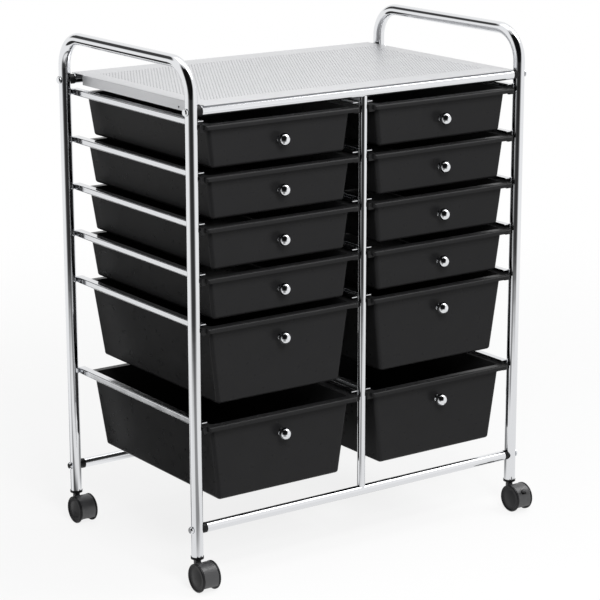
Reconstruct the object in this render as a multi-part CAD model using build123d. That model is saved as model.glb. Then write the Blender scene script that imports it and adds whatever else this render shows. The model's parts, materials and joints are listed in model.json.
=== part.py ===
from build123d import *
import math
import os

# Rolling drawer cart: chrome tube frame, twelve hanging drawers, perforated tray, four casters.
# Millimetres. X runs across the cart, -Y is the front with the knobs, +Z is up, z = 0 is the floor.

# Frame: two bent tubes, each one a front leg, a side handle and a rear leg
leg_span_x = 624.0
leg_span_y = 374.0
leg_diameter = 19.0
leg_wall = 1.2
handle_rise = 79.0
leg_bottom = 49.5
handle_bend_radius = 50.0

# Cross bars and the two thin posts between the drawer columns
bar_diameter = 16.0
bar_wall = 1.2
top_bar_height = 737.0
bottom_bar_height = 93.0
post_diameter = 12.7
post_wall = 1.0
weld_gap = 0.05

# Saddle plugs in the bar ends and the bolts that pull the bars to the legs
plug_collar_length = 6.0
plug_spigot_length = 22.0
plug_fit = 0.05
bolt_diameter = 6.0
bolt_reach = 18.0
bolt_head_diameter = 12.0
bolt_head_height = 3.4
bolt_head_chamfer = 1.6
bolt_hole_clearance = 0.3
thread_fit = 0.05

# Drawer rails: channels of bent sheet, open towards the drawer
rail_height = 10.0
rail_depth = 12.0
rail_sheet = 1.2
rail_bend_radius = 2.0
rail_setback = 1.5
top_rail_drop = 20.0
row_spans = (1, 1, 1, 1, 2, 2)

# Tray: sheet laid over the top bars, with its sides folded down
tray_sheet = 1.0
tray_gap = 0.1
tray_leg_gap = 7.0
tray_flange_height = 16.0
tray_flange_setback = 28.0
tray_edge_round = 0.75
tray_hole_diameter = 4.0
tray_hole_inset = 32.0
tray_hole_rise = 4.5
tray_opening_diameter = 26.0
tray_opening_columns = 12
tray_opening_rows = 8
tray_margin = 24.0

# Drawers
flange_side_clearance = 1.25
flange_seat_clearance = 0.3
flange_thickness = 2.8
flange_width = 15.0
drawer_rear_gap = 10.0
rear_rim_width = 9.0
drawer_wall = 2.0
small_row_gap = 8.0
large_row_gap = 28.0
side_draft = 7.5
front_draft = 2.0
rear_draft = 4.0
bin_corner_radius = 6.5
bin_bottom_radius = 5.0
rim_corner_radius = 5.0
lip_overhang = 12.0
lip_end_inset = 6.0
lip_height = 7.0
lip_wall = 2.5
lip_round = 4.5
ear_tab_width = 11.0
ear_tab_depth = 4.0
ear_tab_height = 10.5

# Knobs with the screw that holds each from inside the drawer
knob_drop = 35.5
knob_base_diameter = 12.0
knob_base_thickness = 1.5
knob_neck_diameter = 8.0
knob_neck_length = 6.0
knob_head_diameter = 21.0
knob_head_thickness = 13.0
knob_widest_share = 0.42
knob_back_slope = 0.12
knob_screw_diameter = 4.0
knob_screw_engagement = 10.0
knob_screw_head_diameter = 8.0
knob_screw_head_height = 2.4

# Casters: stem in a plastic socket, hood with two wheels behind the stem's axis
wheel_diameter = 45.0
wheel_inner_diameter = 38.4
wheel_width = 9.4
wheel_tread_width = 3.2
wheel_edge_chamfer = 1.2
wheel_face_recess = 1.6
wheel_face_ring = 2.6
wheel_dome_diameter = 29.0
wheel_trail = 20.0
wheel_side_gap = 0.5
hood_core_width = 13.0
hood_width = 25.0
hood_diameter = 44.0
hood_shell = 2.0
hood_skirt_front = 10.0
hood_skirt_rear = 25.0
neck_diameter = 11.6
neck_top_gap = 0.4
axle_diameter = 5.0
axle_fit = 0.06
axle_end_gap = 0.6
axle_cover = 3.0
stem_diameter = 7.0
stem_fit = 0.06
stem_collar_diameter = 10.0
stem_collar_height = 1.2
stem_depth_in_neck = 16.0
stem_depth_in_socket = 24.0
socket_ring_diameter = 20.4
socket_ring_height = 3.6
socket_sleeve_length = 30.0
socket_fit = 0.08

# Brake levers on the two right-hand casters
brake_pivot_forward = 8.5
brake_pivot_rise = 12.5
brake_hub_diameter = 7.0
brake_width = 8.4
brake_slot_clearance = 0.4
brake_arm_thickness = 3.0
brake_arm_length = 20.0
brake_arm_angle = 16.0
brake_travel = 18.0
brake_pad_width = 13.0
brake_pad_length = 8.0
brake_pin_diameter = 3.2
brake_pin_length = 1.5
brake_pin_fit = 0.06

# Derived places that several pieces share
half_x = leg_span_x / 2
half_y = leg_span_y / 2
leg_radius = leg_diameter / 2
bar_radius = bar_diameter / 2
post_radius = post_diameter / 2
handle_axis_height = top_bar_height + handle_rise - leg_radius
top_rail_height = top_bar_height - top_rail_drop
row_pitch = (top_rail_height - bottom_bar_height - bar_radius) / sum(row_spans)
row_heights = [top_rail_height - row_pitch * sum(row_spans[:row]) for row in range(len(row_spans))]
row_gaps = {1: small_row_gap, 2: large_row_gap}
drawer_length = leg_span_y - drawer_rear_gap
bar_heights = (top_bar_height, bottom_bar_height)
side_web = half_x - leg_radius - weld_gap
center_web = post_radius + weld_gap
drawer_outer_edge = side_web - rail_sheet - flange_side_clearance
drawer_inner_edge = center_web + rail_sheet + flange_side_clearance
drawer_width = drawer_outer_edge - drawer_inner_edge
column_center = (drawer_outer_edge + drawer_inner_edge) / 2
flange_bottom = -rail_height / 2 + rail_sheet + flange_seat_clearance
flange_top = flange_bottom + flange_thickness
corners = [(sx, sy) for sy in (-1, 1) for sx in (-1, 1)]
sides = {"left": -1, "right": 1}
ends = {"front": -1, "rear": 1}


def x_rod(radius, length):
    return Rot(0, 90, 0) * Cylinder(radius, length)


def tube_along(path, diameter):
    start = Plane(origin=path @ 0, z_dir=path % 0)
    return sweep(start * Circle(diameter / 2), path=path)


# Frame tubes
def u_tube(side):
    x = side * half_x
    path = FilletPolyline(
        (x, -half_y, leg_bottom),
        (x, -half_y, handle_axis_height),
        (x, half_y, handle_axis_height),
        (x, half_y, leg_bottom),
        radius=handle_bend_radius,
    )
    tube = tube_along(path, leg_diameter) - tube_along(path, leg_diameter - 2 * leg_wall)
    hole_radius = bolt_diameter / 2 + bolt_hole_clearance
    for y in (-half_y, half_y):
        for z in bar_heights:
            tube -= Pos(x, y, z) * x_rod(hole_radius, 2 * leg_diameter)
    return tube


def cross_bar(end, height):
    length = 2 * (half_x - leg_radius - plug_collar_length)
    tube = x_rod(bar_radius, length) - x_rod(bar_radius - bar_wall, length)
    return Pos(0, end * half_y, height) * tube


def center_post(end):
    y = end * half_y
    low, high = bottom_bar_height, top_bar_height
    middle = (low + high) / 2
    post = Cylinder(post_radius, high - low) - Cylinder(post_radius - post_wall, high - low)
    post = Pos(0, y, middle) * post
    for z in bar_heights:
        post -= Pos(0, y, z) * x_rod(bar_radius + weld_gap, 2 * post_diameter)
    return post


# Each plug closes a bar end, and its collar is hollowed to sit on the round leg
def bar_end_plug(side):
    start = half_x - leg_radius - plug_collar_length
    collar_length = plug_collar_length + leg_radius
    collar = Pos(start + collar_length / 2, 0, 0) * x_rod(bar_radius, collar_length)
    spigot_radius = bar_radius - bar_wall - plug_fit
    spigot = Pos(start - plug_spigot_length / 2, 0, 0) * x_rod(spigot_radius, plug_spigot_length)
    leg = Pos(half_x, 0, 0) * Cylinder(leg_radius + weld_gap, 2 * bar_diameter)
    bore_length = bolt_reach + leg_diameter + plug_collar_length
    bore = Pos(start - bolt_reach + bore_length / 2, 0, 0)
    plug = collar + spigot - leg - bore * x_rod(bolt_diameter / 2 + thread_fit, bore_length)
    return plug if side > 0 else mirror(plug, about=Plane.YZ)


def frame_bolt(side):
    head_start = half_x + leg_radius + weld_gap
    tip = half_x - leg_radius - plug_collar_length - bolt_reach + thread_fit
    shank = Pos((head_start + tip) / 2, 0, 0) * x_rod(bolt_diameter / 2, head_start - tip)
    head = x_rod(bolt_head_diameter / 2, bolt_head_height)
    head = chamfer(head.edges().filter_by(GeomType.CIRCLE).sort_by(Axis.X)[-1], bolt_head_chamfer)
    bolt = shank + Pos(head_start + bolt_head_height / 2, 0, 0) * head
    return bolt if side > 0 else mirror(bolt, about=Plane.YZ)


def at_bar_ends(make):
    return [Pos(0, end * half_y, z) * make(side)
            for end in ends.values() for z in bar_heights for side in sides.values()]


# A rail is a channel whose open side looks along +X, with its web's back at x = 0
def rail_channel():
    outer = Pos(rail_depth / 2, 0) * Rectangle(rail_depth, rail_height)
    outer = fillet(outer.vertices().group_by(Axis.X)[0], rail_bend_radius)
    slot_depth = rail_depth - rail_sheet
    slot = Pos(rail_sheet + slot_depth / 2, 0) * Rectangle(slot_depth, rail_height - 2 * rail_sheet)
    length = leg_span_y - 2 * rail_setback
    return extrude(Plane.XZ * (outer - slot), amount=length / 2, both=True)


def rail_set(x, facing):
    channel = rail_channel()
    if facing < 0:
        channel = mirror(channel, about=Plane.YZ)
    return [Pos(x, 0, z) * channel for z in row_heights]


# Tray: one bent sheet that lies on both top bars and ends flush with their outer sides
def top_tray():
    half_width = half_x - leg_radius - tray_leg_gap
    depth = leg_span_y + bar_diameter
    sheet_bottom = top_bar_height + bar_radius + tray_gap
    tray = Pos(0, 0, sheet_bottom + tray_sheet / 2) * Box(2 * half_width, depth, tray_sheet)
    flange_length = leg_span_y - 2 * tray_flange_setback
    for side in sides.values():
        flange = Box(tray_sheet, flange_length, tray_flange_height)
        hole = x_rod(tray_hole_diameter / 2, 4 * tray_sheet)
        hole_y = tray_hole_inset - flange_length / 2
        flange -= Pos(0, hole_y, tray_hole_rise - tray_flange_height / 2) * hole
        middle = sheet_bottom + tray_sheet - tray_flange_height / 2
        tray += Pos(side * (half_width - tray_sheet / 2), 0, middle) * flange
    bends = [edge for edge in tray.edges().filter_by(Axis.Y)
             if abs(abs(edge.center().X) - half_width) < tray_sheet / 10
             and edge.center().Z > sheet_bottom + tray_sheet / 2]
    return fillet(bends, tray_edge_round) - tray_openings(half_width, sheet_bottom)


# The fine perforation is stood for by a plain grid of round openings
def tray_openings(half_width, height):
    pitch_x = 2 * (half_width - tray_margin) / tray_opening_columns
    pitch_y = (leg_span_y - bar_diameter - 2 * tray_margin) / tray_opening_rows
    grid = GridLocations(pitch_x, pitch_y, tray_opening_columns, tray_opening_rows)
    punch = extrude(Circle(tray_opening_diameter / 2), amount=3 * tray_sheet)
    return [Pos(0, 0, height - tray_sheet) * place * punch for place in grid]


# Drawers, in their own frame: x = 0 mid-width, y = 0 front face at the rim, z = 0 rail's mid-height
def bin_section(below_rim, inset):
    side = math.tan(math.radians(side_draft)) * below_rim
    front = math.tan(math.radians(front_draft)) * below_rim
    rear = math.tan(math.radians(rear_draft)) * below_rim
    width = drawer_width - 2 * (flange_width + side + inset)
    y_front = front + inset
    y_rear = drawer_length - rear_rim_width - rear - inset
    outline = RectangleRounded(width, y_rear - y_front, bin_corner_radius - inset)
    return Pos(0, (y_front + y_rear) / 2, flange_top - below_rim) * outline


def bin_block(depth, inset, rise):
    body = loft([bin_section(-rise, inset), bin_section(depth - inset, inset)])
    bottom = body.faces().sort_by(Axis.Z)[0]
    return fillet(bottom.edges(), bin_bottom_radius - inset)


# The lip is hollow below and stands out past the front wall; a tab at each end stops against the rail
def front_lip():
    width = drawer_width - 2 * lip_end_inset
    lip = Box(width, lip_overhang, lip_height)
    top_front = lip.edges().filter_by(Axis.X).sort_by(lambda e: e.center().Z - e.center().Y)[-1]
    front_corners = lip.edges().filter_by(Axis.Z).group_by(Axis.Y)[0]
    lip = fillet([top_front] + front_corners, lip_round)
    lip = Pos(0, -lip_overhang / 2, flange_top - lip_height / 2) * lip
    hollow_depth = lip_overhang - lip_wall
    hollow_height = lip_height - flange_thickness
    hollow = Box(width - 2 * lip_wall, hollow_depth, hollow_height)
    lip -= Pos(0, -hollow_depth / 2, flange_top - lip_height + hollow_height / 2) * hollow
    for side in sides.values():
        tab = Box(ear_tab_width, ear_tab_depth, ear_tab_height)
        tab_x = side * (drawer_width - ear_tab_width) / 2
        lip += Pos(tab_x, -ear_tab_depth / 2, flange_top - ear_tab_height / 2) * tab
    return lip


def drawer_bin(total_depth):
    depth = total_depth + flange_top
    rim = Pos(0, drawer_length / 2, flange_bottom) * extrude(
        Rectangle(drawer_width, drawer_length), amount=flange_thickness)
    rear_corners = rim.edges().filter_by(Axis.Z).group_by(Axis.Y)[-1]
    rim = fillet(rear_corners, rim_corner_radius)
    body = bin_block(depth, 0, 0) + rim + front_lip()
    body -= bin_block(depth, drawer_wall, drawer_wall)
    return body - knob_place() * screw_hole()


# The knob's axis stands square on the sloping front wall
def knob_place():
    below_rim = knob_drop + flange_top
    y = math.tan(math.radians(front_draft)) * below_rim
    return Pos(0, y, -knob_drop) * Rot(90 + front_draft, 0, 0)


def screw_hole():
    through = 2 * (drawer_wall + knob_screw_head_height)
    return Cylinder(knob_screw_diameter / 2 + thread_fit, through)


def knob():
    neck_top = knob_base_thickness + knob_neck_length
    top = neck_top + knob_head_thickness
    head_radius = knob_head_diameter / 2
    widest = neck_top + knob_head_thickness * knob_widest_share
    profile = make_face([
        Polyline(
            (0, 0), (knob_base_diameter / 2, 0), (knob_base_diameter / 2, knob_base_thickness),
            (knob_neck_diameter / 2, knob_base_thickness), (knob_neck_diameter / 2, neck_top)),
        Spline((knob_neck_diameter / 2, neck_top), (head_radius, widest), (0, top),
               tangents=((1, knob_back_slope), (-1, 0))),
        Line((0, top), (0, 0)),
    ])
    body = revolve(Plane.XZ * profile, axis=Axis.Z)
    blind = Pos(0, 0, knob_screw_engagement / 2)
    return body - blind * Cylinder(knob_screw_diameter / 2 + thread_fit, knob_screw_engagement)


def knob_screw():
    head = Pos(0, 0, -drawer_wall - knob_screw_head_height / 2 - weld_gap)
    head = head * Cylinder(knob_screw_head_diameter / 2, knob_screw_head_height)
    low = -drawer_wall - weld_gap
    high = knob_screw_engagement - thread_fit
    shank = Pos(0, 0, (low + high) / 2) * Cylinder(knob_screw_diameter / 2, high - low)
    return shank + head


# Casters, in their own frame: z axis is the swivel axis, the wheels stand towards -Y
wheel_radius = wheel_diameter / 2
axle_place = Pos(0, -wheel_trail, wheel_radius)
socket_bottom = leg_bottom - weld_gap - socket_ring_height
stem_collar_bottom = socket_bottom - weld_gap - stem_collar_height
neck_top = stem_collar_bottom - neck_top_gap
wheel_inner_x = hood_core_width / 2 + wheel_side_gap
wheel_outer_x = wheel_inner_x + wheel_width
brake_place = axle_place * Pos(0, -brake_pivot_forward, brake_pivot_rise)


def caster_hood(braked):
    radius = hood_diameter / 2
    drum = axle_place * x_rod(radius, hood_width)
    for side in sides.values():
        pocket_width = (hood_width - hood_core_width) / 2
        pocket_x = side * (hood_core_width + pocket_width) / 2
        drum -= axle_place * Pos(pocket_x, 0, 0) * x_rod(radius - hood_shell, pocket_width)
    yoke_height = neck_top - hood_skirt_rear
    yoke = Pos(0, 0, hood_skirt_rear + yoke_height / 2) * Cylinder(neck_diameter / 2, yoke_height)
    bridge_height = wheel_radius / 2
    bridge = Pos(0, -wheel_trail / 2, hood_skirt_rear + bridge_height / 2)
    body = drum + yoke + bridge * Box(neck_diameter, wheel_trail, bridge_height)
    front_y = -wheel_trail - radius
    below = make_face(Polyline(
        (front_y - radius, hood_skirt_front), (front_y + radius / 2, hood_skirt_front),
        (0, hood_skirt_rear), (radius, hood_skirt_rear), (radius, -radius),
        (front_y - radius, -radius), (front_y - radius, hood_skirt_front)))
    body -= extrude(Plane.YZ * below, amount=hood_width, both=True)
    body -= axle_place * x_rod(axle_diameter / 2 + axle_fit, hood_width)
    bore_bottom = neck_top - stem_depth_in_neck
    bore = Pos(0, 0, bore_bottom + stem_depth_in_neck / 2)
    body -= bore * Cylinder(stem_diameter / 2 + stem_fit, stem_depth_in_neck)
    return body - brake_room() if braked else body


def brake_room():
    slot = brake_width + 2 * brake_slot_clearance
    hub = x_rod(brake_hub_diameter / 2 + brake_slot_clearance, slot)
    reach = 2 * brake_arm_length
    high = math.radians(180 - brake_arm_angle)
    low = math.radians(180 - brake_arm_angle + brake_travel)
    fan = make_face(Polyline(
        (0, 0), (reach * math.cos(high), reach * math.sin(high)),
        (reach * math.cos(low), reach * math.sin(low)), (0, 0)))
    slit = extrude(Plane.YZ * fan, amount=slot / 2, both=True)
    path = Pos(0, -reach / 2, 0) * Box(slot, reach, brake_arm_thickness + 2 * brake_slot_clearance)
    for turn in (-brake_arm_angle, brake_travel - brake_arm_angle):
        slit += Rot(turn, 0, 0) * path
    pins = x_rod(brake_pin_diameter / 2 + brake_pin_fit, slot + 2 * (brake_pin_length + axle_end_gap))
    return brake_place * (hub + slit + pins)


def brake_lever():
    hub = x_rod(brake_hub_diameter / 2, brake_width)
    arm = Pos(0, -brake_arm_length / 2, 0)
    arm = arm * Box(brake_width, brake_arm_length, brake_arm_thickness)
    pad = Pos(0, -brake_arm_length + brake_pad_length / 2, 0)
    pad = pad * Box(brake_pad_width, brake_pad_length, brake_arm_thickness)
    pad = fillet(pad.edges().filter_by(Axis.Z).group_by(Axis.Y)[0], brake_arm_thickness)
    pins = x_rod(brake_pin_diameter / 2, brake_width + 2 * brake_pin_length)
    return brake_place * Rot(-brake_arm_angle, 0, 0) * (hub + arm + pad + pins)


# A wheel has a wide running rim outside and a narrower drum that turns under the hood
def wheel(side):
    rim = wheel_radius
    inner = wheel_inner_diameter / 2
    x_in = wheel_inner_x
    x_out = wheel_outer_x
    x_step = hood_width / 2 + wheel_side_gap
    x_tread = x_out - wheel_tread_width
    ring = rim - wheel_face_ring
    dome = wheel_dome_diameter / 2
    dip = x_out - wheel_face_recess
    profile = make_face([
        Polyline(
            (x_out, 0), (x_in, 0), (x_in, inner), (x_step, inner), (x_tread, rim),
            (x_out - wheel_edge_chamfer, rim), (x_out, rim - wheel_edge_chamfer), (x_out, ring),
            (dip, ring - wheel_face_recess), (dip, dome)),
        TangentArc((x_out, 0), (dip, dome), tangent=(0, 1)),
    ])
    body = revolve(Plane.XY * profile, axis=Axis.X)
    bore_end = x_out - axle_cover
    bore = Pos((x_in + bore_end) / 2, 0, 0) * x_rod(axle_diameter / 2 + axle_fit, bore_end - x_in)
    body = axle_place * (body - bore)
    return body if side > 0 else mirror(body, about=Plane.YZ)


def axle():
    reach = wheel_outer_x - axle_cover - axle_end_gap
    return axle_place * x_rod(axle_diameter / 2, 2 * reach)


def caster_stem():
    low = neck_top - stem_depth_in_neck + axle_end_gap
    high = socket_bottom + stem_depth_in_socket
    pin = Pos(0, 0, (low + high) / 2) * Cylinder(stem_diameter / 2, high - low)
    collar = Pos(0, 0, stem_collar_bottom + stem_collar_height / 2)
    return pin + collar * Cylinder(stem_collar_diameter / 2, stem_collar_height)


def leg_socket():
    sleeve_radius = leg_radius - leg_wall - socket_fit
    ring_top = socket_bottom + socket_ring_height
    sleeve = Pos(0, 0, ring_top + socket_sleeve_length / 2)
    sleeve = sleeve * Cylinder(sleeve_radius, socket_sleeve_length)
    ring = Pos(0, 0, ring_top - socket_ring_height / 2)
    ring = ring * Cylinder(socket_ring_diameter / 2, socket_ring_height)
    bore_depth = stem_depth_in_socket + axle_end_gap
    bore = Pos(0, 0, socket_bottom + bore_depth / 2)
    return sleeve + ring - bore * Cylinder(stem_diameter / 2 + stem_fit, bore_depth)


def at_legs(make):
    return [Pos(sx * half_x, sy * half_y, 0) * make() for sx, sy in corners]


# Every node's solids, by the node's name
def frame_nodes():
    nodes = {}
    for name, side in sides.items():
        nodes[f"{name}_u_tube"] = [u_tube(side)]
        nodes[f"{name}_side_rails"] = rail_set(side * side_web, -side)
        nodes[f"center_{name}_rails"] = rail_set(side * center_web, side)
    for name, end in ends.items():
        nodes[f"top_{name}_bar"] = [cross_bar(end, top_bar_height)]
        nodes[f"bottom_{name}_bar"] = [cross_bar(end, bottom_bar_height)]
        nodes[f"center_{name}_post"] = [center_post(end)]
    nodes["bar_end_plugs"] = at_bar_ends(bar_end_plug)
    nodes["frame_bolts"] = at_bar_ends(frame_bolt)
    nodes["top_tray"] = [top_tray()]
    nodes["leg_sockets"] = at_legs(leg_socket)
    nodes["caster_stems"] = at_legs(caster_stem)
    return nodes


def drawer_nodes():
    nodes = {}
    bins = {span: drawer_bin(row_pitch * span - gap) for span, gap in row_gaps.items()}
    knob_parts = [knob_place() * knob(), knob_place() * knob_screw()]
    for name, side in sides.items():
        for row, height in enumerate(row_heights):
            place = Pos(side * column_center, -half_y, height)
            nodes[f"{name}_drawer_{row + 1}"] = [place * bins[row_spans[row]]]
            nodes[f"{name}_knob_{row + 1}"] = [place * piece for piece in knob_parts]
    return nodes


def caster_nodes():
    nodes = {}
    for end_name, end in ends.items():
        for name, side in sides.items():
            braked = side > 0
            place = Pos(side * half_x, end * half_y, 0)
            caster = f"{end_name}_{name}"
            nodes[f"{caster}_caster_hood"] = [place * caster_hood(braked)]
            nodes[f"{caster}_axle"] = [place * axle()]
            nodes[f"{caster}_left_wheel"] = [place * wheel(-1)]
            nodes[f"{caster}_right_wheel"] = [place * wheel(1)]
            if braked:
                nodes[f"{caster}_brake_lever"] = [place * brake_lever()]
    return nodes


# The origin is on the floor, under the middle of the whole cart's box
def main():
    os.makedirs("parts", exist_ok=True)
    nodes = frame_nodes() | drawer_nodes() | caster_nodes()
    solids = {name: [s for piece in pieces for s in piece.solids()] for name, pieces in nodes.items()}
    box = Compound(children=[s for group in solids.values() for s in group]).bounding_box()
    shift = Pos(-(box.min.X + box.max.X) / 2, -(box.min.Y + box.max.Y) / 2, -box.min.Z)
    print("origin moved by", shift.position)
    for name, group in solids.items():
        export_step(Compound(children=[shift * s for s in group]), f"parts/{name}.step")


main()
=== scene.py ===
import json
import math
import bpy
import numpy as np
from mathutils import Euler, Matrix, Vector


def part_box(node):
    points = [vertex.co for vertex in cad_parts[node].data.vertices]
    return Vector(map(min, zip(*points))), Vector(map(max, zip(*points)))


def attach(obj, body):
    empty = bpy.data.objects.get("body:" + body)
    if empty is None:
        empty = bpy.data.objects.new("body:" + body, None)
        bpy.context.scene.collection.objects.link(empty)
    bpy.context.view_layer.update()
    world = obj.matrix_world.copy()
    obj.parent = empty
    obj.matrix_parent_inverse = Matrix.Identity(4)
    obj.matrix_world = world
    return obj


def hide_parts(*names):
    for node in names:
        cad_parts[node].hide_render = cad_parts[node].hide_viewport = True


# Rolling drawer cart, dressed round its CAD frame
# Studio sizes are in metres, sizes on the cart in millimetres
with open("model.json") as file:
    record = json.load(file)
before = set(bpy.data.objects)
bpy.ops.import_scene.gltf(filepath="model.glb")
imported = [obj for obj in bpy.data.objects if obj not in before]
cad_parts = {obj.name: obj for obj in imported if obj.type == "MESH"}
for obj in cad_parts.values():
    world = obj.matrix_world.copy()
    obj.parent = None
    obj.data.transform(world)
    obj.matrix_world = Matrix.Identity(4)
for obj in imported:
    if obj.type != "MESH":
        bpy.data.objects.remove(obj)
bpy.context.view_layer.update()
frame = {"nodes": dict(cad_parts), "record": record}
nodes = frame["nodes"]
mm = 0.001
quarterTurn = math.pi / 2
pureWhite = (1, 1, 1, 1)
levelPart = (1, 1, 0)
noiseMiddle = (0.3, 0.7)
print("frame loaded:", len(nodes), "nodes")


# Small helpers for node trees
def put(tree, kind, sockets=(), **settings):
    node = tree.nodes.new(kind)
    for name, value in settings.items():
        setattr(node, name, value)
    for name, value in dict(sockets).items():
        socket = node.inputs[name]
        if isinstance(value, bpy.types.NodeSocket):
            tree.links.new(value, socket)
        else:
            socket.default_value = value
    return node


def freshTree(owner):
    owner.use_nodes = True
    owner.node_tree.nodes.clear()
    return owner.node_tree


def greyTone(value):
    return (value, value, value, 1)


def ease(tree, value, low, high):
    wide = {"Value": value, "From Min": low, "From Max": high}
    return put(tree, "ShaderNodeMapRange", wide, interpolation_type="SMOOTHSTEP").outputs["Result"]


def blend(tree, share, first, second):
    wide = {"Value": share, "To Min": first, "To Max": second}
    return put(tree, "ShaderNodeMapRange", wide).outputs["Result"]


def numberMath(tree, operation, first, second):
    return put(tree, "ShaderNodeMath", {0: first, 1: second}, operation=operation).outputs[0]


def vectorMath(tree, operation, *vectors):
    return put(tree, "ShaderNodeVectorMath", dict(enumerate(vectors)), operation=operation)


def mixShaders(tree, share, first, second):
    return put(tree, "ShaderNodeMixShader", {0: share, 1: first, 2: second}).outputs[0]


def bearing(tree, way, towards):
    # cosine between the level part of a direction and a level heading
    flat = vectorMath(tree, "MULTIPLY", way, levelPart).outputs[0]
    level = vectorMath(tree, "NORMALIZE", flat).outputs[0]
    return vectorMath(tree, "DOT_PRODUCT", level, towards).outputs["Value"]


# Helpers for the finishes
def noiseOn(tree, scale, detail=2.0):
    spot = put(tree, "ShaderNodeTexCoord").outputs["Object"]
    return put(tree, "ShaderNodeTexNoise", {"Vector": spot, "Scale": scale, "Detail": detail}).outputs["Fac"]


def spread(tree, value, low, high):
    # noise seldom leaves its middle part, so that part is stretched over the range
    start, end = noiseMiddle
    wide = {"Value": value, "From Min": start, "From Max": end, "To Min": low, "To Max": high}
    return put(tree, "ShaderNodeMapRange", wide).outputs["Result"]


def bumped(tree, height, strength, depth):
    return put(tree, "ShaderNodeBump", {"Height": height, "Strength": strength, "Distance": depth}).outputs[0]


def cloudy(tree, share, dark, pale):
    # inputs 6 and 7 are the node's pair of colours, and output 2 is the mixed colour
    return put(tree, "ShaderNodeMix", {0: share, 6: dark, 7: pale}, data_type="RGBA").outputs[2]


def coverWith(tree, sockets):
    skin = put(tree, "ShaderNodeBsdfPrincipled", sockets).outputs[0]
    put(tree, "ShaderNodeOutputMaterial", {"Surface": skin})


# Mesh helper: points and faces become one smooth piece, with creases past an angle in degrees
def meshPiece(name, points, *faces, crease=40):
    mesh = bpy.data.meshes.new(name)
    mesh.from_pydata(points.tolist(), [], [face for group in faces for face in group.tolist()])
    mesh.polygons.foreach_set("use_smooth", np.ones(len(mesh.polygons), bool))
    mesh.set_sharp_from_angle(angle=math.radians(crease))
    mesh.update()
    piece = bpy.data.objects.new(name, mesh)
    bpy.context.scene.collection.objects.link(piece)
    return piece


# Camera at the photograph's viewing angle
shot = {
    "place": (-2.0237, -2.8790, 1.2885),
    "yaw": 35.09,
    "pitch": 14.60,
    "roll": -0.081,
    "lens": 133.58,
    "sensor": 36.0,
}


def setCamera(spec):
    lensData = bpy.data.cameras.new("shotCamera")
    lensData.sensor_width = spec["sensor"]
    lensData.lens = spec["lens"]
    camera = bpy.data.objects.new("shotCamera", lensData)
    bpy.context.scene.collection.objects.link(camera)
    turn = Euler((math.radians(90 - spec["pitch"]), 0, -math.radians(spec["yaw"]))).to_matrix()
    turn = turn @ Matrix.Rotation(math.radians(spec["roll"]), 3, "Z")
    camera.matrix_world = Matrix.Translation(spec["place"]) @ turn.to_4x4()
    bpy.context.scene.camera = camera


setCamera(shot)
print("camera set")

# Studio: white walls with a few dim stretches, which the chrome shows as its dark bands
studio = {
    "white": 0.92,
    "ambient": 0.30,
    "front": {
        "towards": (-0.62, -0.785, 0.0),
        "cosines": (0.50, 0.90),
        "heights": (0.75, 0.25),
        "tone": 0.05,
    },
    "lobes": (
        {"towards": (-0.45, -0.65, 0.61), "degrees": (58, 40), "tone": 0.005},
        {"towards": (-0.40, 0.75, -0.53), "degrees": (16.5, 13.6), "tone": 0.03},
        {"towards": (-0.35, 0.83, 0.43), "degrees": (20, 11), "tone": 0.05},
    ),
}


def roomTone(tree, spec):
    # white, dimmed low in front of the cart and in each lobe
    way = put(tree, "ShaderNodeTexCoord").outputs["Generated"]
    front = spec["front"]
    beside = ease(tree, bearing(tree, way, front["towards"]), *front["cosines"])
    below = ease(tree, put(tree, "ShaderNodeSeparateXYZ", {0: way}).outputs["Z"], *front["heights"])
    tone = blend(tree, numberMath(tree, "MULTIPLY", beside, below), spec["white"], front["tone"])
    for lobe in spec["lobes"]:
        aim = Vector(lobe["towards"]).normalized()
        near = vectorMath(tree, "DOT_PRODUCT", way, aim).outputs["Value"]
        outer, inner = (math.cos(math.radians(d)) for d in lobe["degrees"])
        tone = blend(tree, ease(tree, near, outer, inner), tone, lobe["tone"])
    return tone


def setWorld(spec):
    # mirrors show the room, dull surfaces an even grey, and the camera plain white
    world = bpy.data.worlds.new("studioWorld")
    bpy.context.scene.world = world
    tree = freshTree(world)
    room = put(tree, "ShaderNodeBackground", {"Color": roomTone(tree, spec)}).outputs[0]
    soft = put(tree, "ShaderNodeBackground", {"Color": greyTone(spec["ambient"])}).outputs[0]
    plain = put(tree, "ShaderNodeBackground", {"Color": pureWhite}).outputs[0]
    path = put(tree, "ShaderNodeLightPath").outputs
    mirrored = numberMath(tree, "MAXIMUM", path["Is Glossy Ray"], path["Is Transmission Ray"])
    around = mixShaders(tree, mirrored, soft, room)
    shown = mixShaders(tree, path["Is Camera Ray"], around, plain)
    put(tree, "ShaderNodeOutputWorld", {"Surface": shown})


setWorld(studio)

# Floor: white with a faint shadow, fading out all round
# In the chrome only, it glows with painted light: a pale patch in front, darker along the studio's dim
# heading, and a painted shadow beneath the cart
floor = {
    "half": 2.4,
    "drop": 0.0004,
    "fade": (0.35, 2.3),
    "color": 0.86,
    "glow": 0.84,
    "patch": {
        "tones": (0.84, 0.28),
        "behind": (0.12, -0.08),
        "far": (2.0, 0.9),
        "cosines": (0.925, 0.985),
        "gap": (0.37, 0.60),
    },
    # under: a dark glow beneath the cart, a painted shadow seen only in the chrome
    "under": {"place": (0.08, 0.14, 0.0), "reach": (0.30, 0.14), "tone": 0.22},
}


def seenFloor(tree, spec, away, toCamera):
    # a lit white that glows towards the camera, and clears with distance
    lit = put(tree, "ShaderNodeBsdfDiffuse", {"Color": greyTone(spec["color"])}).outputs[0]
    glow = put(tree, "ShaderNodeEmission", {"Color": pureWhite}).outputs[0]
    clear = put(tree, "ShaderNodeBsdfTransparent").outputs[0]
    shown = mixShaders(tree, toCamera, lit, mixShaders(tree, spec["glow"], lit, glow))
    return mixShaders(tree, ease(tree, away, *spec["fade"]), shown, clear)


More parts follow.
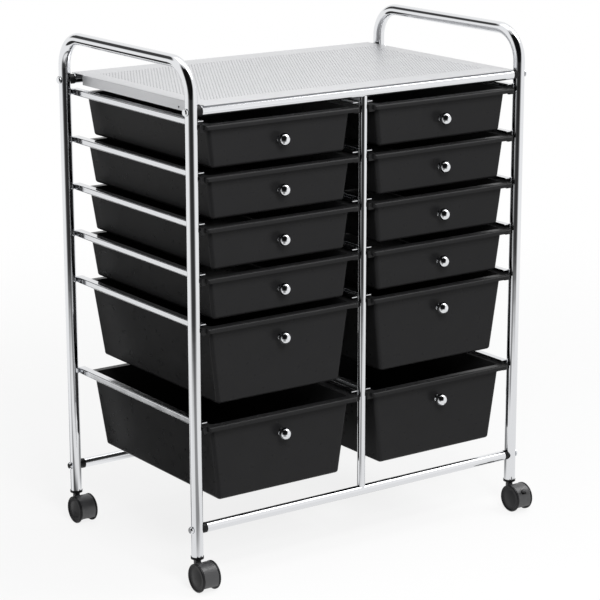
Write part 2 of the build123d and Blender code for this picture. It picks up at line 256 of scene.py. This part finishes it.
def mirroredFloor(tree, spec, spot, away):
    # painted light for mirrors: a glowing patch, dimmer along the studio's dim heading past a gap near the
    # cart, and a painted shadow beneath the cart
    patch = spec["patch"]
    front = ease(tree, put(tree, "ShaderNodeSeparateXYZ", {0: spot}).outputs["Y"], *patch["behind"])
    near = ease(tree, away, *patch["far"])
    heading = ease(tree, bearing(tree, spot, studio["front"]["towards"]), *patch["cosines"])
    dim = numberMath(tree, "MULTIPLY", heading, ease(tree, away, *patch["gap"]))
    grey = put(tree, "ShaderNodeEmission", {"Color": blend(tree, dim, *patch["tones"])}).outputs[0]
    clear = put(tree, "ShaderNodeBsdfTransparent").outputs[0]
    ahead = mixShaders(tree, numberMath(tree, "MULTIPLY", front, near), clear, grey)
    # painted shadow: a dark glow beneath the cart, for mirrors only
    under = spec["under"]
    apart = vectorMath(tree, "DISTANCE", spot, under["place"]).outputs["Value"]
    paintedShadow = put(tree, "ShaderNodeEmission", {"Color": greyTone(under["tone"])}).outputs[0]
    return mixShaders(tree, ease(tree, apart, *under["reach"]), ahead, paintedShadow)


def setFloor(spec):
    half, level = spec["half"], -spec["drop"]
    square = ((-half, -half), (half, -half), (half, half), (-half, half))
    corners = np.array([(x, y, level) for x, y in square])
    piece = meshPiece("studioFloor", corners, np.array([(0, 1, 2, 3)]))
    mat = bpy.data.materials.new("floorWhite")
    tree = freshTree(mat)
    path = put(tree, "ShaderNodeLightPath").outputs
    spot = put(tree, "ShaderNodeTexCoord").outputs["Object"]
    away = vectorMath(tree, "LENGTH", spot).outputs["Value"]
    seen = seenFloor(tree, spec, away, path["Is Camera Ray"])
    mirrored = mirroredFloor(tree, spec, spot, away)
    whole = mixShaders(tree, path["Is Glossy Ray"], seen, mirrored)
    put(tree, "ShaderNodeOutputMaterial", {"Surface": whole})
    piece.data.materials.append(mat)


setFloor(floor)

# Soft boxes: place, size, power, and whether the chrome mirrors the box itself
lamps = {
    "aim": (0.0, 0.0, 0.4),
    "boxes": {
        "keyLamp": {"place": (-0.55, -1.65, 1.65), "size": 0.9, "power": 40.0, "mirrored": False},
        "lipLamp": {"place": (1.75, -0.55, 3.05), "size": 1.8, "power": 40.0, "mirrored": True},
        "topLamp": {"place": (0.1, 0.3, 3.0), "size": 2.2, "power": 8.0, "mirrored": True},
    },
}


def setLamps(spec):
    for name, box in spec["boxes"].items():
        lamp = bpy.data.lights.new(name, "AREA")
        lamp.shape = "SQUARE"
        lamp.size = box["size"]
        lamp.energy = box["power"]
        holder = bpy.data.objects.new(name, lamp)
        bpy.context.scene.collection.objects.link(holder)
        holder.location = box["place"]
        aim = Vector(spec["aim"]) - Vector(box["place"])
        holder.rotation_euler = aim.to_track_quat("-Z", "Y").to_euler()
        holder.visible_glossy = box["mirrored"]


setLamps(lamps)
print("studio set")

# Chrome plate, with a faint wave in the tube and a little haze
chromes = {
    "noise": {"haze": 240.0, "wave": 26.0, "depth": 0.01},
    "tubeChrome": {"color": (0.84, 0.85, 0.87, 1), "rough": (0.035, 0.075), "wave": 0.012},
    "railChrome": {"color": (0.78, 0.79, 0.81, 1), "rough": (0.10, 0.16), "wave": 0.02},
    "knobChrome": {"color": (0.84, 0.85, 0.87, 1), "rough": (0.03, 0.06), "wave": 0.004},
}


def chromePlate(name):
    plate, noise = chromes[name], chromes["noise"]
    mat = bpy.data.materials.new(name)
    tree = freshTree(mat)
    coverWith(tree, {
        "Base Color": plate["color"],
        "Metallic": 1.0,
        "Roughness": spread(tree, noiseOn(tree, noise["haze"]), *plate["rough"]),
        "Normal": bumped(tree, noiseOn(tree, noise["wave"]), plate["wave"], noise["depth"]),
    })
    return mat


# Silver powder coat on the tray, with a fine orange peel
coat = {
    "noise": {"cloud": (14.0, 3.0), "haze": 180.0, "peel": 900.0, "depth": 0.001},
    "dark": (0.65, 0.655, 0.67, 1),
    "pale": (0.69, 0.695, 0.71, 1),
    "rough": (0.30, 0.38),
    "metal": 0.6,
    "peel": 0.05,
}


def silverCoat(name, spec):
    noise = spec["noise"]
    mat = bpy.data.materials.new(name)
    tree = freshTree(mat)
    coverWith(tree, {
        "Base Color": cloudy(tree, noiseOn(tree, *noise["cloud"]), spec["dark"], spec["pale"]),
        "Metallic": spec["metal"],
        "Roughness": spread(tree, noiseOn(tree, noise["haze"]), *spec["rough"]),
        "Normal": bumped(tree, noiseOn(tree, noise["peel"]), spec["peel"], noise["depth"]),
    })
    return mat


# Moulded plastics: a cloudy tint, uneven gloss and a fine grain
plastics = {
    "noise": {"cloud": (30.0, 3.0), "haze": 90.0, "grain": (1500.0, 1.0), "depth": 0.0006},
    "drawerPlastic": {
        "dark": (0.0115, 0.0115, 0.012, 1),
        "pale": (0.0140, 0.0140, 0.0145, 1),
        "rough": (0.27, 0.33),
        "gloss": 0.12,
        "grain": 0.02,
    },
    "fittingPlastic": {
        "dark": (0.005, 0.005, 0.0055, 1),
        "pale": (0.008, 0.008, 0.0085, 1),
        "rough": (0.36, 0.46),
        "gloss": 0.2,
        "grain": 0.10,
    },
    "casterPlastic": {
        "dark": (0.034, 0.034, 0.036, 1),
        "pale": (0.042, 0.042, 0.044, 1),
        "rough": (0.38, 0.46),
        "gloss": 0.9,
        "grain": 0.03,
    },
    "wheelNylon": {
        "dark": (0.009, 0.009, 0.010, 1),
        "pale": (0.013, 0.013, 0.014, 1),
        "rough": (0.34, 0.42),
        "gloss": 0.26,
        "grain": 0.03,
    },
}


def mouldedPlastic(name):
    plastic, noise = plastics[name], plastics["noise"]
    mat = bpy.data.materials.new(name)
    tree = freshTree(mat)
    coverWith(tree, {
        "Base Color": cloudy(tree, noiseOn(tree, *noise["cloud"]), plastic["dark"], plastic["pale"]),
        "Roughness": spread(tree, noiseOn(tree, noise["haze"]), *plastic["rough"]),
        "Specular IOR Level": plastic["gloss"],
        "Normal": bumped(tree, noiseOn(tree, *noise["grain"]), plastic["grain"], noise["depth"]),
    })
    return mat


# Turned steel of the stems and axles
steel = {"color": (0.52, 0.53, 0.55, 1), "rough": (0.22, 0.34), "haze": 700.0}


def pinSteel(name, spec):
    mat = bpy.data.materials.new(name)
    tree = freshTree(mat)
    rough = spread(tree, noiseOn(tree, spec["haze"]), *spec["rough"])
    coverWith(tree, {"Base Color": spec["color"], "Metallic": 1.0, "Roughness": rough})
    return mat


# One finish for each material slot of the record
tubeChrome = chromePlate("tubeChrome")
coats = {
    "chrome_tube": tubeChrome,
    "rail_chrome": chromePlate("railChrome"),
    "bolt_chrome": tubeChrome,
    "knob_chrome": chromePlate("knobChrome"),
    "tray_sheet": silverCoat("silverCoat", coat),
    "drawer_plastic": mouldedPlastic("drawerPlastic"),
    "black_fitting": mouldedPlastic("fittingPlastic"),
    "caster_plastic": mouldedPlastic("casterPlastic"),
    "wheel_nylon": mouldedPlastic("wheelNylon"),
    "pin_steel": pinSteel("pinSteel", steel),
}


def coatNodes():
    for part in frame["record"]["subparts"]:
        holder = nodes[part["node"]]
        holder.data.materials.clear()
        holder.data.materials.append(coats[part["material_slot"]])


coatNodes()
print("finishes set:", len(coats))

# Tray: one flat sheet with staggered round holes and its sides folded down between the legs
tray = {
    "sheet": 1.0,
    "fold": 1.2,
    "foldLines": 5,
    "flange": 16.0,
    "flangeSetback": 36.0,
    "flangeHole": {"size": 4.0, "fromEnd": 68.0, "fromFoot": 4.5, "room": 0.65},
    "hole": 2.5,
    "pitch": 5.5,
    "stagger": 60,
    "margin": (26.0, 40.0),
    "strips": 3,
    "crease": 35,
}


def sheetPlace(u, v, spec, half, drop):
    # flat over u and v, but past the fold u runs down a quarter arc and then straight
    # drop is the depth below the upper skin
    fold = spec["fold"]
    past = np.clip(np.abs(u) - (half - fold), 0, None)
    turn = np.minimum(past / fold, quarterTurn)
    x = np.sign(u) * (np.minimum(np.abs(u), half - fold) + fold * np.sin(turn))
    z = -fold * (1 - np.cos(turn)) - np.clip(past - fold * quarterTurn, 0, None)
    place = np.stack([x, v, z], axis=-1)
    normal = np.stack([np.sign(u) * np.sin(turn), np.zeros_like(u), np.cos(turn)], axis=-1)
    return place - drop * normal


def sheetLines(spec, half, depth):
    # lattice lines of half a pitch in the field of holes
    pitch = spec["pitch"]
    rowPitch = pitch * math.sin(math.radians(spec["stagger"]))
    across = int(2 * (half - spec["margin"][0]) / pitch)
    rows = int(2 * (depth - spec["margin"][1]) / rowPitch)
    fieldU = (np.arange(2 * across + 1) - across) * pitch / 2
    fieldV = (np.arange(2 * rows + 1) - rows) * rowPitch / 2
    # lines at the folds, the flange holes and the feet, and at the ends
    fold, flangeHole = spec["fold"], spec["flangeHole"]
    foldLines = half - fold + np.linspace(0, fold * quarterTurn, spec["foldLines"])
    foot = foldLines[-1] + spec["flange"] - fold
    holeU = foot - flangeHole["fromFoot"]
    room = flangeHole["room"] * flangeHole["size"]
    sideU = np.concatenate([foldLines, [holeU - room, holeU, holeU + room, foot]])
    endV = np.array([depth - spec["flangeSetback"], depth])
    uLines = np.concatenate([-sideU[::-1], fieldU, sideU])
    vLines = np.concatenate([-endV[::-1], fieldV, endV])
    return uLines, vLines, across, rows


def holeCells(spec, uLines, vLines, across, rows):
    # a hole's cell is two by two lattice steps, and every second row starts half a pitch later
    nu, nv = len(uLines), len(vLines)
    firstU, firstV = (nu - 2 * across - 1) // 2, (nv - 2 * rows - 1) // 2
    row, col = np.meshgrid(np.arange(rows), np.arange(across), indexing="ij")
    kept = col < across - row % 2
    field = np.stack([firstU + row % 2 + 2 * col, firstV + 2 * row], axis=-1)[kept]
    # each flange has one hole, whose cell starts a line in from the foot
    fromFront = vLines - vLines[0]
    holeRow = int(np.argmin(np.abs(fromFront - spec["flangeHole"]["fromEnd"]))) - 1
    sides = np.array([(1, holeRow), (nu - 4, holeRow)])
    radius = np.repeat([spec["hole"] / 2, spec["flangeHole"]["size"] / 2], [len(field), len(sides)])
    stripRows = firstV + 2 * (rows * np.arange(1, spec["strips"]) // spec["strips"])
    return np.concatenate([field, sides]), radius, vLines[stripRows]


def plainQuads(spec, uLines, vLines, cell, half, depth):
    # every step of the lattice outside the holes' cells
    nu, nv = len(uLines), len(vLines)
    covered = np.zeros((nv - 1, nu - 1), bool)
    for di in (0, 1):
        for dj in (0, 1):
            covered[cell[:, 1] + dj, cell[:, 0] + di] = True
    # the flange stops short of the legs, so past its ends the fold and flange are cut away
    midU, midV = (uLines[1:] + uLines[:-1]) / 2, (vLines[1:] + vLines[:-1]) / 2
    pastFold = np.abs(midU) > half - spec["fold"]
    pastFlange = np.abs(midV) > depth - spec["flangeSetback"]
    covered |= pastFold[None, :] & pastFlange[:, None]
    j, i = np.nonzero(~covered)
    return np.stack([j * nu + i, j * nu + i + 1, (j + 1) * nu + i + 1, (j + 1) * nu + i], axis=-1)


def holeRings(uLines, vLines, cell, radius):
    # eight points round each hole, joined to the eight lattice points of its cell
    nu, nv = len(uLines), len(vLines)
    ringI = np.array([2, 2, 1, 0, 0, 0, 1, 2])
    ringJ = np.array([1, 2, 2, 2, 1, 0, 0, 0])
    count = len(ringI)
    rim = (cell[:, 1:] + ringJ) * nu + cell[:, :1] + ringI
    angle = np.radians(360 / count) * np.arange(count)
    holeU = uLines[cell[:, :1] + 1] + radius[:, None] * np.cos(angle)
    holeV = vLines[cell[:, 1:] + 1] + radius[:, None] * np.sin(angle)
    edge = nu * nv + np.arange(len(cell) * count).reshape(-1, count)
    ring = np.stack([rim, np.roll(rim, -1, 1), np.roll(edge, -1, 1), edge], axis=-1)
    return holeU, holeV, ring.reshape(-1, 4)


def thickSheet(name, top, under, quads, crease):
    # upper skin, the same turned over for the underside, and a wall on every edge that only one quad has
    used, flat = np.unique(quads, return_inverse=True)
    quads = flat.reshape(-1, 4)
    count = len(used)
    a, b = quads.ravel(), np.roll(quads, -1, 1).ravel()
    single = ~np.isin(a * count + b, b * count + a)
    a, b = a[single], b[single]
    walls = np.stack([a, a + count, b + count, b], axis=-1)
    faces = np.concatenate([quads, quads[:, ::-1] + count, walls])
    return meshPiece(name, np.concatenate([top[used], under[used]]), faces, crease=crease)


def traySheet(spec):
    low, high = (np.array(c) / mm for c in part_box("top_tray"))
    center, half, depth = (low + high) / 2, (high[0] - low[0]) / 2, (high[1] - low[1]) / 2
    uLines, vLines, across, rows = sheetLines(spec, half, depth)
    cell, radius, cuts = holeCells(spec, uLines, vLines, across, rows)
    holeU, holeV, ring = holeRings(uLines, vLines, cell, radius)
    quads = np.concatenate([plainQuads(spec, uLines, vLines, cell, half, depth), ring])
    gridU, gridV = np.meshgrid(uLines, vLines)
    u = np.concatenate([gridU.ravel(), holeU.ravel()])
    v = np.concatenate([gridV.ravel(), holeV.ravel()])
    shift = np.array([center[0], center[1], high[2]])
    top = (sheetPlace(u, v, spec, half, 0.0) + shift) * mm
    under = (sheetPlace(u, v, spec, half, spec["sheet"]) + shift) * mm
    strip = np.searchsorted(cuts, v[quads].mean(1))
    return [thickSheet(f"traySheet_{k + 1}", top, under, quads[strip == k], spec["crease"])
            for k in range(spec["strips"])]


for piece in traySheet(tray):
    piece.data.materials.append(coats["tray_sheet"])
    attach(piece, "frame")
    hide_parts("top_tray")
print("tray perforated")

# Knobs: a ball-faced head, neck and base, turned in one with the screw that holds them
# They stand square on the drawers' sloping fronts
knobs = {
    "rows": 6,
    "tilt": 2.0,
    "length": 20.5,
    "widest": 12.96,
    "screw": ((4.0, -4.4), (4.0, -2.0), (2.0, -2.0), (2.0, 0.0)),
    "base": ((5.6, 0.0), (6.0, 0.4), (6.0, 1.1), (5.6, 1.5), (4.0, 1.5), (4.0, 7.5)),
    "back": 9.9,
    "head": 10.2,
    "around": 40,
    "steps": (5, 14),
}


def knobProfile(spec):
    # radius and height: the turned foot, a quarter ellipse out to the widest ring,
    # then a quarter ellipse to the pole
    head, back, length = spec["head"], spec["back"], spec["length"]
    foot = np.array(spec["screw"] + spec["base"])
    neck, start = spec["base"][-1]
    out, over = (np.linspace(0, quarterTurn, n + 1) for n in spec["steps"])
    behind = np.stack([neck + (head - neck) * np.sin(out), back - (back - start) * np.cos(out)], axis=-1)
    ball = np.stack([head * np.cos(over), back + (length - back) * np.sin(over)], axis=-1)
    return np.concatenate([foot, behind[1:], ball[1:-1]])


def turned(profile, around, ends):
    # a ring of points round the axis for each profile point, and a fan of triangles to a pole at either end
    turn = 2 * math.pi * np.arange(around) / around
    circle = np.stack([np.cos(turn), np.sin(turn), np.zeros(around)], axis=-1)
    rings = profile[:, :1, None] * circle + profile[:, 1:, None] * np.array([0, 0, 1])
    poles = np.array([(0, 0, end) for end in ends])
    here = np.arange(around)
    after = np.roll(here, -1)
    start = around * np.arange(len(profile) - 1)[:, None]
    quads = np.stack([start + here, start + after, start + around + after, start + around + here], axis=-1)
    lowPole = around * len(profile)
    highPole, lastRing = lowPole + 1, lowPole - around
    fans = np.concatenate([
        np.stack([0 * here + lowPole, after, here], axis=-1),
        np.stack([0 * here + highPole, lastRing + here, lastRing + after], axis=-1),
    ])
    return np.concatenate([rings.reshape(-1, 3), poles]), quads.reshape(-1, 4), fans


def setKnobs(spec):
    tilt = math.radians(spec["tilt"])
    profile = knobProfile(spec)
    points, quads, fans = turned(profile, spec["around"], (profile[0, 1], spec["length"]))
    axes = np.array([(1, 0, 0), (0, -math.sin(tilt), math.cos(tilt)), (0, -math.cos(tilt), -math.sin(tilt))])
    for side in ("left", "right"):
        for row in range(1, spec["rows"] + 1):
            low, high = (np.array(c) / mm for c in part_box(f"{side}_knob_{row}"))
            wall = (low + high) / 2
            wall[1] = low[1] + spec["length"] * math.cos(tilt)
            wall[2] += spec["widest"] * math.sin(tilt)
            piece = meshPiece(f"{side}Knob_{row}", (points @ axes + wall) * mm, quads, fans)
            piece.data.materials.append(coats["knob_chrome"])
            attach(piece, f"drawer_{side}_{row}")
            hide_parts(f"{side}_knob_{row}")


setKnobs(knobs)
print("knobs turned")

bpy.context.scene.view_settings.view_transform = "Standard"
